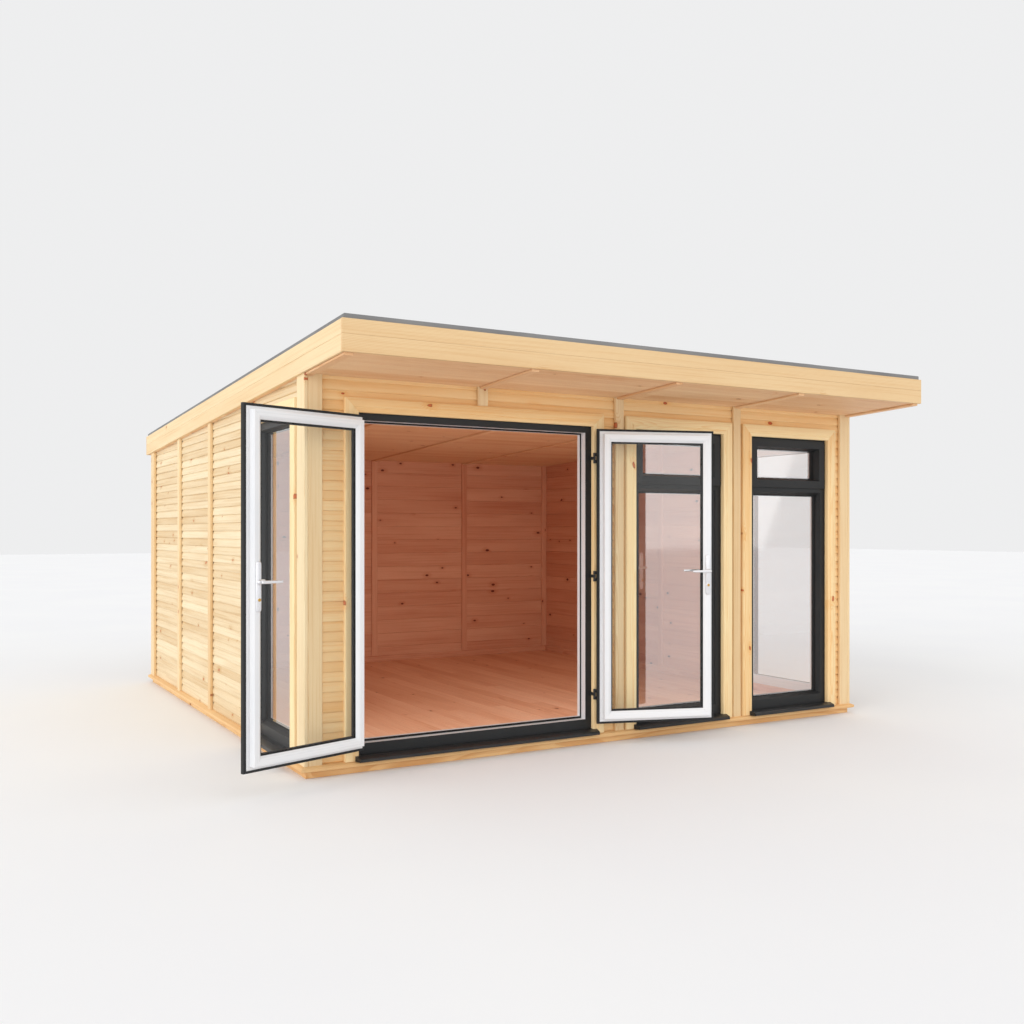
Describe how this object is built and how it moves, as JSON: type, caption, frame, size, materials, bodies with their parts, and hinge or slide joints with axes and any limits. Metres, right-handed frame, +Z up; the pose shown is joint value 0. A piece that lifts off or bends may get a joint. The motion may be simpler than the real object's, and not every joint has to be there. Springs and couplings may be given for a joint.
{
  "type": "garden office pod",
  "caption": "Square timber garden room with a single roof slope, front porch overhang, glazed outward-opening French doors and tall fixed windows.",
  "frame": {"origin": "on the ground in the middle of the four walls", "axes": "+Z up, +Y from the front doors to the back wall, +X to the right seen from the front"},
  "size_m": [4.8362, 5.114, 2.5],
  "materials": {
    "base_timber": "planed softwood, oiled",
    "floor_boards": "tongued boards, satin",
    "pine_walls": "profiled pine boards, light satin stain",
    "pine_trim": "planed pine, light satin stain",
    "inside_pine": "planed pine, bare",
    "roof_pine": "tongued pine boards",
    "frame_plastic": "grained anthracite foil outside, white inside",
    "door_plastic": "white inside, anthracite foil outside",
    "sill_plastic": "anthracite, satin",
    "clear_glass": "double glazed, clear",
    "roof_sheet": "grey roofing sheet, matt",
    "hinge_metal": "powder coated",
    "handle_metal": "satin"
  },
  "bodies": {
    "root": {"floor_bearers": "base_timber", "wall_plate": "base_timber", "floor": "floor_boards", "front_wall": "pine_walls", "front_header": "pine_walls", "left_wall": "pine_walls", "left_header": "pine_walls", "right_wall": "pine_walls", "right_header": "pine_walls", "back_wall": "pine_walls", "corner_boards": "pine_trim", "front_battens": "pine_trim", "side_battens": "pine_trim", "back_battens": "pine_trim", "inner_battens": "inside_pine", "skirting": "inside_pine", "door_frame": "frame_plastic", "door_sill": "sill_plastic", "door_surround": "pine_trim", "left_front_window": "frame_plastic", "right_front_window": "frame_plastic", "left_side_window": "frame_plastic", "right_side_window": "frame_plastic", "top_lights": "frame_plastic", "window_glass": "clear_glass", "window_sills": "sill_plastic", "window_surrounds": "pine_trim", "ceiling_boards": "roof_pine", "ceiling_battens": "roof_pine", "roof_panel": "roof_pine", "front_fascia": "pine_trim", "back_fascia": "pine_trim", "side_fascias": "pine_trim", "roof_covering": "roof_sheet", "frame_hinges": "hinge_metal"},
    "left_leaf": {"left_door": "door_plastic", "left_door_glass": "clear_glass", "left_door_hinges": "hinge_metal", "left_lock": "handle_metal"},
    "right_leaf": {"right_door": "door_plastic", "right_door_glass": "clear_glass", "right_door_hinges": "hinge_metal", "right_lock": "handle_metal"},
    "left_lever_body": {"left_lever": "handle_metal"},
    "right_lever_body": {"right_lever": "handle_metal"}
  },
  "joints": [
    {"name": "left_leaf_hinge", "type": "hinge", "parent": "root", "child": "left_leaf", "pos_m": [-1.842, -2.19, 1.098], "axis": [0, 0, 1], "range_deg": [0, 162]},
    {"name": "right_leaf_hinge", "type": "hinge", "parent": "root", "child": "right_leaf", "pos_m": [-0.218, -2.19, 1.098], "axis": [0, 0, -1], "range_deg": [0, 162]},
    {"name": "left_lever_turn", "type": "hinge", "parent": "left_leaf", "child": "left_lever_body", "pos_m": [-2.53922, -2.47122, 1.129], "axis": [-0.309, 0.9511, 0], "range_deg": [0, 40], "stiffness_Nm_per_rad": 1.2, "springref_deg": -20.05},
    {"name": "right_lever_turn", "type": "hinge", "parent": "right_leaf", "child": "right_lever_body", "pos_m": [0.47922, -2.47122, 1.129], "axis": [-0.309, -0.9511, 0], "range_deg": [0, 40], "stiffness_Nm_per_rad": 1.2, "springref_deg": -20.05}
  ]
}
